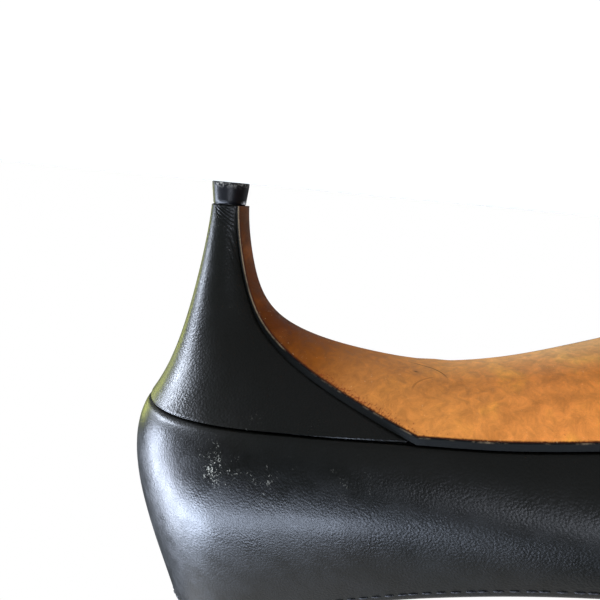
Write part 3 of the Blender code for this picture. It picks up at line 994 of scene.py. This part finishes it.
def soleRows():
    # visible and inner points across, one pair of rows for each step from the heel's foot to the toe
    form, steps = outsoleForm, outsoleForm["acrossSteps"]
    rows = []
    for k in range(form["breastSteps"]):
        v = k / form["breastSteps"]
        rows.append((breastRow(v, 0.0, steps), breastRow(v, stripThickness(v), steps)))
    count = round((toeRib - breastRib) * form["spanSteps"])

    def inside(x, q):
        return lastBottom(x, q) - lastForm["gap"]

    def under(x, q):
        return max(0.0, inside(x, q) - mix(form["waist"], form["tread"], smoothStep(*form["treadGrows"], x)))

    for k in range(count + 1):
        t = min(mix(breastRib, toeRib, k / count), toeRib - 0.04)
        welt = form["welt"] * smoothStep(*form["weltGrows"], featherPoint(t, 1)[0])
        left, right = featherPoint(t, -1, welt), featherPoint(t, 1, welt)
        rows.append((acrossRow(left, right, steps, under), acrossRow(left, right, steps, inside)))
    return easeBend(rows)


def easeBend(rows):
    # the sole turns in a soft bend under the heel's front, sharp only along its inner edge
    bend, reach = rows[outsoleForm["breastSteps"]][0], outsoleForm["bendReach"]
    eased = []
    for visible, inside in rows:
        row = []
        for k, point in enumerate(visible):
            span = reach - (point - bend[k]).length
            softness = 1.0 - smoothStep(*outsoleForm["bendSharpens"], 2.0 * k / (len(visible) - 1) - 1.0)
            if span > 0.0 and softness:
                near = [other[0][k] for other in rows if (other[0][k] - point).length < span]
                point = point.lerp(sum(near, Vector()) / len(near), softness)
            row.append(point)
        eased.append((row, inside))
    return eased


def makeOutsole():
    corner = outsoleForm["corner"]
    rows = soleRows()
    middle = outsoleForm["acrossSteps"] // 2
    path = [0.0]
    for a, b in zip(rows, rows[1:]):
        path.append(path[-1] + (b[0][middle] - a[0][middle]).length)
    path = [p - path[outsoleForm["breastSteps"]] for p in path]  # zero at the heel's front corners
    face, faceMarks = [], []
    edges, edgeMarks = {0: [], -1: []}, {0: [], -1: []}
    inner, innerMarks = [], []
    for (visible, inside), along in zip(rows, path):
        centre = visible[middle]
        turned = {}
        for end, step in ((0, 1), (-1, -2)):
            rise = visible[end] - inside[end]
            depth = rise.length
            rise.normalize()
            inwards = (visible[step] - visible[end]).normalized()
            turn = []
            for angle in (0.0, 30.0, 60.0, 90.0):
                a = math.radians(angle)
                down, across = corner * (1 - math.sin(a)), corner * (1 - math.cos(a))
                turn.append(visible[end] - rise * down + inwards * across)
            turned[end] = turn
            sign = -1.0 if end == 0 else 1.0
            half = (visible[end] - centre).length * sign
            edges[end].append([inside[end], inside[end].lerp(turn[0], 0.5), *turn])
            depths = [-depth, -depth / 2, -corner, -corner * 0.6, -corner * 0.3, 0.0]
            edgeMarks[end].append([(along, half, d) for d in depths])
        row = [turned[0][-1], *visible[1:-1], turned[-1][-1]]
        width = [(p - turned[0][-1]).length for p in row]
        face.append(row)
        faceMarks.append([(along, w - width[-1] / 2, min(w, width[-1] - w)) for w in width])
        inner.append(inside)
        innerMarks.append([(along, w - width[-1] / 2, -3.0) for w in width])
    bm = bmesh.new()
    layer = bm.verts.layers.float_vector.new("solePlace")
    sheets = [
        (face, faceMarks, 0), (edges[0], edgeMarks[0], 1), (edges[-1], edgeMarks[-1], 1),
        (inner, innerMarks, 1),
    ]
    for sheet, marks, finish in sheets:
        verts = addSheet(bm, sheet, finish)
        for vert, mark in zip(verts, (m for row in marks for m in row)):
            vert[layer] = Vector(mark) * mm
    weld(bm)
    finishPiece("outsole_leather", bm, [soleLeather, edgeInk], "outsole", 50.0)


makeOutsole()
print("outsole made")


insoleForm = {
    "thick": 2.0, "inset": 2.3, "topInset": 1.2, "spanSteps": 10, "acrossSteps": 36, "edgeRoll": 0.8,
    # the foot's marks: along, across, radius, depth
    "imprints": [(30.0, 0.0, 19.0, 0.5), (166.0, 2.0, 27.0, 0.5)],
    # the board below the sock's share is near black: painted shade for the seam between insole and lining
    "tanEdge": 0.2,  # share of the edge that is sock, the rest is board
}


def makeInsole():
    form = insoleForm
    top, under = [], []
    for k in range(toeRib * form["spanSteps"] + 1):
        t = min(max(k / form["spanSteps"], 0.06), toeRib - 0.06)
        left, right = featherPoint(t, -1, -form["inset"]), featherPoint(t, 1, -form["inset"])
        under.append(acrossRow(left, right, form["acrossSteps"], lastBottom))
        left, right = featherPoint(t, -1, -form["topInset"]), featherPoint(t, 1, -form["topInset"])
        row = acrossRow(left, right, form["acrossSteps"], lambda x, q: lastBottom(x, q) + form["thick"])
        for point in row:
            edge = min((point - row[0]).length, (point - row[-1]).length)
            sunk = sum(
                depth * math.exp(-(((point.x - x) ** 2 + (point.y - y) ** 2) / radius**2))
                for x, y, radius, depth in form["imprints"]
            )
            point.z -= rollIn(edge, form["edgeRoll"]) + sunk
        top.append(row)
    bm = bmesh.new()
    addSheet(bm, top)
    # the underside and the lower part of each edge are the near-black board: painted shade seen in the seams
    addSheet(bm, [row[::-1] for row in under], 1)
    for edge in (0, -1):
        high, low = [row[edge] for row in top], [row[edge] for row in under]
        joint = [a.lerp(b, form["tanEdge"]) for a, b in zip(high, low)]
        addSheet(bm, [high, joint])
        addSheet(bm, [joint, low], 1)
    weld(bm)
    finishPiece("insole_sock", bm, [sockLeather, seamShadeBoard], "insole")


makeInsole()
print("insole made")


heelForm = {
    "backFlare": (0.75, 1.35, 6.0), "foot": (3.9, 4.1), "lip": 0.5, "lipReach": 0.994, "stripGap": 0.12,
    "aroundSteps": 64, "acrossSteps": 20, "rimRoll": 0.45, "footRoll": 0.3,
    # from height, to height, step: finer at the joint, where the cover is gathered
    "heights": [(0.0, 6.0, 0.16), (6.0, 16.0, 0.4), (16.0, 43.0, 0.9), (43.0, 45.0, 0.15)],
    # gathers in the cover: around and height at the start and at the end, width, depth
    # around is 0 at the back and 1 in front
    "gathers": [
        (0.76, 0.3, 0.97, 1.2, 0.13, 0.11), (0.66, 0.3, 0.97, 2.1, 0.14, 0.13),
        (0.58, 0.4, 0.97, 3.0, 0.14, 0.14), (0.54, 0.9, 0.96, 4.0, 0.15, 0.14),
        (0.55, 1.8, 0.95, 5.0, 0.15, 0.12), (0.60, 3.0, 0.94, 6.4, 0.16, 0.1),
        (0.76, 5.4, 0.96, 11.0, 0.17, 0.08), (0.84, 6.0, 0.98, 15.0, 0.17, 0.08),
        (0.80, 11.0, 0.97, 19.0, 0.18, 0.06),
    ],
}


def heelPoint(u, v, side):
    form = heelForm
    seatX, seatY = featherPoint(breastRib * u, side)
    seat = Vector((seatX, seatY, lastBottom(seatX, side) - lastForm["gap"]))
    halfLength, halfWidth = form["foot"]
    front = math.asin(outsoleForm["breastFootHalfWidth"] / halfWidth)
    turn = mix(math.pi, front, u)
    around = Vector((math.cos(turn), side * math.sin(turn), 0.0))
    foot = Vector((liftAlong + halfLength * around.x, halfWidth * around.y, outsoleForm["breastFootHeight"]))
    back = flare(form["backFlare"], v)
    x = mix(foot.x, seat.x, mix(back, flare(outsoleForm["alongFlare"], v), u**2))
    y = mix(foot.y, seat.y, mix(back, flare(outsoleForm["widthFlare"], v), u**2))
    tall = seat.z - foot.z
    point = Vector((x, y, mix(foot.z, seat.z, v)))
    point -= featherOut(breastRib * u, side) * rollIn((1.0 - v) * tall, form["rimRoll"])
    return point - around * rollIn(v * tall, form["footRoll"])


def makeHeel():
    form, steps = heelForm, heelForm["acrossSteps"]
    tall = lastForm["heelHeight"] - lastForm["gap"] - outsoleForm["breastFootHeight"]
    heights = [0.0]
    for low, high, step in form["heights"]:
        count = max(1, round((min(high, tall) - low) / step))
        heights += [mix(low, min(high, tall), (k + 1) / count) for k in range(count)]
    shares = [h / tall for h in reversed(heights)]
    shares.insert(1, 1.0 - form["lip"] / tall * 0.2)
    shares[0] = 1.0
    breast = []
    for k, v in enumerate(shares[1:]):
        reach = form["lipReach"] * (v if k else 1.0)
        breast.append(breastRow(reach, stripThickness(reach) + form["stripGap"], steps))
    topRow = [
        Vector((p.x, p.y, lastBottom(p.x, 2.0 * k / steps - 1.0) - lastForm["gap"]))
        for k, p in enumerate(breast[0])
    ]
    breast.insert(0, topRow)
    arounds = [k / form["aroundSteps"] for k in range(form["aroundSteps"])]

    def coverRows(side, front):
        # the last part of each side runs forward to lie flush with the strip
        rows = []
        for u in arounds:
            draw = smoothStep(0.6, 1.0, u) * u**4
            rows.append([
                heelPoint(u, v, side) + (end - heelPoint(1.0, v, side)) * draw
                for v, end in zip(shares, front)
            ])
        return rows + [front]

    inner = coverRows(1, [row[-1] for row in breast])
    outer = coverRows(-1, [row[0] for row in breast])
    seat = [
        acrossRow(left[0], right[0], steps, lambda x, q: lastBottom(x, q) - lastForm["gap"])
        for left, right in zip(outer, inner)
    ]
    seat[-1] = topRow
    bm = bmesh.new()
    for sheet in (inner, outer, breast, seat):
        addSheet(bm, sheet)
    weld(bm)
    surface, creases = BVHTree.FromBMesh(bm), []
    for u0, h0, u1, h1, width, deep in form["gathers"]:
        for side in (1, -1):
            line = [heelPoint(mix(u0, u1, k / 8), mix(h0, h1, k / 8) / tall, side) for k in range(9)]
            line = [surface.find_nearest(toScene(point))[0] for point in line]
            creases += [(start, end, width, deep) for start, end in zip(line, line[1:])]
    pressCreases(bm, creases)
    finishPiece("heel_cover", bm, [coverLeather], "heel")


makeHeel()
print("heel made")


liftForm = {
    "sides": 56, "edge": 0.22,
    # height, half length, half width
    "rings": [(0.0, 4.1, 4.4), (1.0, 4.02, 4.31), (2.4, 3.84, 4.12), (3.7, 3.68, 3.96),
              (4.6, 3.58, 3.87), (4.7, 3.45, 3.75), (5.0, 3.45, 3.75)],
}


def makeTopLift():
    bm = bmesh.new()
    bmesh.ops.create_circle(bm, cap_ends=True, segments=liftForm["sides"], radius=1.0)
    rings = liftForm["rings"]
    tops = bm.faces[:]
    levels = [list(bm.verts)]
    for _ in rings[1:]:
        made = bmesh.ops.extrude_face_region(bm, geom=tops)
        if len(levels) > 1:
            bmesh.ops.delete(bm, geom=tops, context="FACES_ONLY")
        tops = [g for g in made["geom"] if isinstance(g, bmesh.types.BMFace)]
        levels.append([g for g in made["geom"] if isinstance(g, bmesh.types.BMVert)])
    for level, (height, length, width) in zip(levels, rings):
        for vert in level:
            vert.co = toScene((liftAlong + vert.co.x * length, vert.co.y * width, height))
    bmesh.ops.recalc_face_normals(bm, faces=bm.faces)
    rims = [e for e in bm.edges if len({abs(f.normal.z) > 0.99 for f in e.link_faces}) == 2]
    bmesh.ops.bevel(
        bm, geom=rims, offset=liftForm["edge"] * mm, segments=3, profile=0.5, affect="EDGES", material=-1
    )
    finishPiece("top_lift_rubber", bm, [liftRubber], "top_lift", 50.0)


makeTopLift()
print("top lift made")


floorMesh = bmesh.new()
bmesh.ops.create_grid(floorMesh, x_segments=1, y_segments=1, size=paperForm["reach"] * mm)
floorData = bpy.data.meshes.new("floor")
floorMesh.to_mesh(floorData)
floorMesh.free()
floorData.materials.append(makePaper())
floor = bpy.data.objects.new("floor", floorData)
scene.collection.objects.link(floor)

# name: place and aim in mm of the shoe, width and height in mm, tilt in degrees, watts, colour
lightRows = [
    ("window strip", (-677, 119, 370), (13, 22, 60), (230, 640), 18, 31.0, "#dfeaff"),
    ("corner softbox", (-462, 353, 609), (23, 26, 64), (300, 170), 0, 15.0, "#d8e6ff"),
    ("front softbox", (-173, 684, 667), (40, 28, 59), (560, 150), 0, 20.0, "#d8e6ff"),
    ("side card", (261, 497, 90), (90, 27, 48), (220, 140), 0, 3.4, "#e8efff"),
    ("floor panel", (-270, 10, 1), (-270, 10, 60), (300, 84), 0, 8.2, "#e4eeff"),
    ("back card", (-640, -420, 130), (20, 0, 40), (160, 300), 0, 1.0, "#e4ec86"),
    ("far softbox", (100, -900, 420), (100, 0, 60), (1000, 240), 0, 14.0, "#f4f6ff"),
]
for name, place, aim, size, tilt, watts, colour in lightRows:
    lamp = bpy.data.lights.new(name, "AREA")
    lamp.shape = "RECTANGLE"
    lamp.size, lamp.size_y = size[0] * mm, size[1] * mm
    lamp.energy = watts
    lamp.color = linear(colour)[:3]
    holder = bpy.data.objects.new(name, lamp)
    holder.location = toScene(place)
    aimed = (Vector(aim) - Vector(place)).to_track_quat("-Z", "Y")
    holder.rotation_euler = (aimed @ Quaternion((0, 0, 1), math.radians(tilt))).to_euler()
    scene.collection.objects.link(holder)

# A wide soft lamp straight above lights the paper evenly out to the horizon.
roomForm = {"ceiling": 1.6, "ceilingAngle": 70.0, "colour": "#e8ecf2", "strength": 0.06, "pale": "#ffffff"}
ceiling = bpy.data.lights.new("ceiling", "SUN")
ceiling.energy = roomForm["ceiling"]
ceiling.angle = math.radians(roomForm["ceilingAngle"])
scene.collection.objects.link(bpy.data.objects.new("ceiling", ceiling))

# A dim room for reflections, pale where the camera looks past the floor.
world = bpy.data.worlds.new("studio")
world.use_nodes = True
roomTree = world.node_tree
room = roomTree.nodes["Background"]
plug(roomTree, room, {"Color": linear(roomForm["colour"]), "Strength": roomForm["strength"]})
pale = addNode(roomTree, "Background", {"Color": linear(roomForm["pale"]), "Strength": 1.0})
rays = addNode(roomTree, "LightPath")
both = addNode(
    roomTree, "MixShader",
    {0: rays.outputs["Is Camera Ray"], 1: room.outputs["Background"], 2: pale.outputs["Background"]},
)
plug(roomTree, roomTree.nodes["World Output"], {"Surface": both.outputs["Shader"]})
scene.world = world

# The picture is upside down: the camera lies on the floor on the inner side, turned over and a little rolled.
cameraForm = {"place": (62.86, 115.0, 0.01), "yaw": 14.27, "pitch": 11.52, "roll": 185.36, "lens": 32.61}
yaw, pitch = math.radians(cameraForm["yaw"]), math.radians(cameraForm["pitch"])
look = Vector((-math.sin(yaw) * math.cos(pitch), -math.cos(yaw) * math.cos(pitch), math.sin(pitch)))
cameraData = bpy.data.cameras.new("camera")
cameraData.lens = cameraForm["lens"]
cameraData.sensor_width = 36.0
cameraData.clip_start = cameraForm["place"][2] * mm  # no further off than the floor
camera = bpy.data.objects.new("camera", cameraData)
camera.rotation_mode = "QUATERNION"
rolled = Quaternion((0, 0, 1), math.radians(cameraForm["roll"]))
camera.rotation_quaternion = look.to_track_quat("-Z", "Y") @ rolled
camera.location = toScene(cameraForm["place"])
scene.collection.objects.link(camera)
scene.camera = camera
print("stage set")
